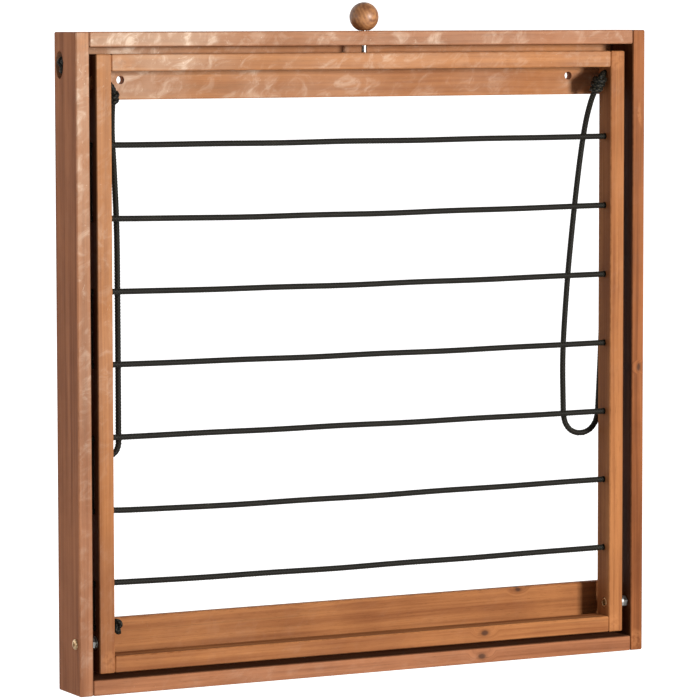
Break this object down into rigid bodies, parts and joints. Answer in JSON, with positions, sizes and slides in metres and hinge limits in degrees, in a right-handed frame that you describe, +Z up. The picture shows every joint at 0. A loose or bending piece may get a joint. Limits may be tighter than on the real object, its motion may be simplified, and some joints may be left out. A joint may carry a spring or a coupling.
{
  "type": "wall mounted fold down clothes drying rack",
  "caption": "Shallow wooden box frame for a wall, with an inner rack strung with cord that folds down level on two rope stays and locks upright with a drop pin.",
  "frame": {"origin": "middle of the top batten's back face, which lies on the wall", "axes": "+X to the right seen from the front, +Y into the wall, +Z up"},
  "size_m": [0.6142, 0.051, 0.6444],
  "materials": {
    "frame_timber": "oiled reddish brown timber, scuffed",
    "rack_timber": "oiled light brown timber",
    "batten": "oiled orange brown timber",
    "dowel": "plain beech",
    "knob": "glossy varnish",
    "cord": "fine black braid",
    "steel": "bright zinc",
    "brass": "dull brass plate"
  },
  "bodies": {
    "wall_frame": {"frame_dowel_1": "dowel", "frame_dowel_2": "dowel", "frame_dowel_3": "dowel", "frame_dowel_4": "dowel", "frame_rail_bottom": "frame_timber", "frame_rail_top": "frame_timber", "frame_side_left": "frame_timber", "frame_side_right": "frame_timber", "pivot_bolt_left": "brass", "pivot_bolt_right": "brass", "pivot_nut_left": "steel", "pivot_nut_right": "steel", "pivot_washer_left": "steel", "pivot_washer_right": "steel", "stay_wall_knot_left": "cord", "stay_wall_knot_right": "cord", "wall_batten_bottom": "batten", "wall_batten_top": "batten"},
    "rack": {"line_1": "cord", "line_2": "cord", "line_3": "cord", "line_4": "cord", "line_5": "cord", "line_6": "cord", "line_7": "cord", "line_end_knot": "cord", "line_start_knot": "cord", "line_tail": "cord", "line_turn_1": "cord", "line_turn_2": "cord", "line_turn_3": "cord", "line_turn_4": "cord", "line_turn_5": "cord", "line_turn_6": "cord", "pivot_insert_left": "brass", "pivot_insert_right": "brass", "rack_dowel_1": "dowel", "rack_dowel_2": "dowel", "rack_dowel_3": "dowel", "rack_dowel_4": "dowel", "rack_rail_bottom": "rack_timber", "rack_rail_top": "rack_timber", "rack_stile_left": "rack_timber", "rack_stile_right": "rack_timber", "stay_rack_knot_left": "cord", "stay_rack_knot_right": "cord"},
    "latch": {"latch_knob": "knob", "latch_pin": "steel"},
    "stay_rack_leg_left": {"stay_rack_leg_left": "cord"},
    "stay_rack_leg_right": {"stay_rack_leg_right": "cord"},
    "stay_rack_tip_left": {"stay_rack_tip_left": "cord"},
    "stay_rack_tip_right": {"stay_rack_tip_right": "cord"},
    "stay_wall_leg_left": {"stay_wall_leg_left": "cord"},
    "stay_wall_leg_right": {"stay_wall_leg_right": "cord"},
    "stay_wall_tip_left": {"stay_wall_tip_left": "cord"},
    "stay_wall_tip_right": {"stay_wall_tip_right": "cord"}
  },
  "joints": [
    {"name": "rack_fold", "type": "hinge", "parent": "wall_frame", "child": "rack", "pos_m": [0, -0.0405, -0.53], "axis": [1, 0, 0], "range_deg": [0, 86]},
    {"name": "latch_lift", "type": "slide", "parent": "wall_frame", "child": "latch", "axis": [0, 0, 1], "range_m": [0, 0.018]},
    {"name": "stay_wall_leg_left_swing", "type": "hinge", "parent": "wall_frame", "child": "stay_wall_leg_left", "pos_m": [-0.2912, -0.0165, 0.008], "axis": [-0.9989, -0.0429, -0.0164], "range_deg": [0, 46.76]},
    {"name": "stay_wall_tip_left_bend", "type": "hinge", "parent": "stay_wall_leg_left", "child": "stay_wall_tip_left", "pos_m": [-0.28539, -0.0148, -0.35064], "axis": [0.0026, 1, 0.0048], "range_deg": [0, 60.98]},
    {"name": "stay_rack_leg_left_swing", "type": "hinge", "parent": "rack", "child": "stay_rack_leg_left", "pos_m": [-0.26071, -0.03253, -0.03105], "axis": [0.9948, 0.0936, 0.0397], "range_deg": [0, 44.59]},
    {"name": "stay_rack_tip_left_bend", "type": "hinge", "parent": "stay_rack_leg_left", "child": "stay_rack_tip_left", "pos_m": [-0.24961, -0.0148, -0.35064], "axis": [0.029, -0.9981, -0.0544], "range_deg": [0, 63.94]},
    {"name": "stay_wall_leg_right_swing", "type": "hinge", "parent": "wall_frame", "child": "stay_wall_leg_right", "pos_m": [0.2912, -0.0165, 0.008], "axis": [-0.9984, 0.013, 0.0555], "range_deg": [0, 46.64]},
    {"name": "stay_wall_tip_right_bend", "type": "hinge", "parent": "stay_wall_leg_right", "child": "stay_wall_tip_right", "pos_m": [0.27159, -0.01734, -0.34439], "axis": [-0.0209, -0.9998, 0.0035], "range_deg": [0, 45.15]},
    {"name": "stay_rack_leg_right_swing", "type": "hinge", "parent": "rack", "child": "stay_rack_leg_right", "pos_m": [0.25671, -0.03474, -0.02292], "axis": [0.9874, -0.1373, -0.0791], "range_deg": [0, 44.55]},
    {"name": "stay_rack_tip_right_bend", "type": "hinge", "parent": "stay_rack_leg_right", "child": "stay_rack_tip_right", "pos_m": [0.23341, -0.017, -0.34439], "axis": [0.0461, 0.9976, 0.0517], "range_deg": [0, 52.54]}
  ],
  "couplings": [
    {"joint": "stay_wall_leg_left_swing", "follows": "rack_fold", "ratio": 0.54343},
    {"joint": "stay_wall_tip_left_bend", "follows": "rack_fold", "ratio": 0.70885},
    {"joint": "stay_rack_leg_left_swing", "follows": "rack_fold", "ratio": 0.51827},
    {"joint": "stay_rack_tip_left_bend", "follows": "rack_fold", "ratio": 0.74327},
    {"joint": "stay_wall_leg_right_swing", "follows": "rack_fold", "ratio": 0.54206},
    {"joint": "stay_wall_tip_right_bend", "follows": "rack_fold", "ratio": 0.52473},
    {"joint": "stay_rack_leg_right_swing", "follows": "rack_fold", "ratio": 0.51775},
    {"joint": "stay_rack_tip_right_bend", "follows": "rack_fold", "ratio": 0.61066}
  ]
}
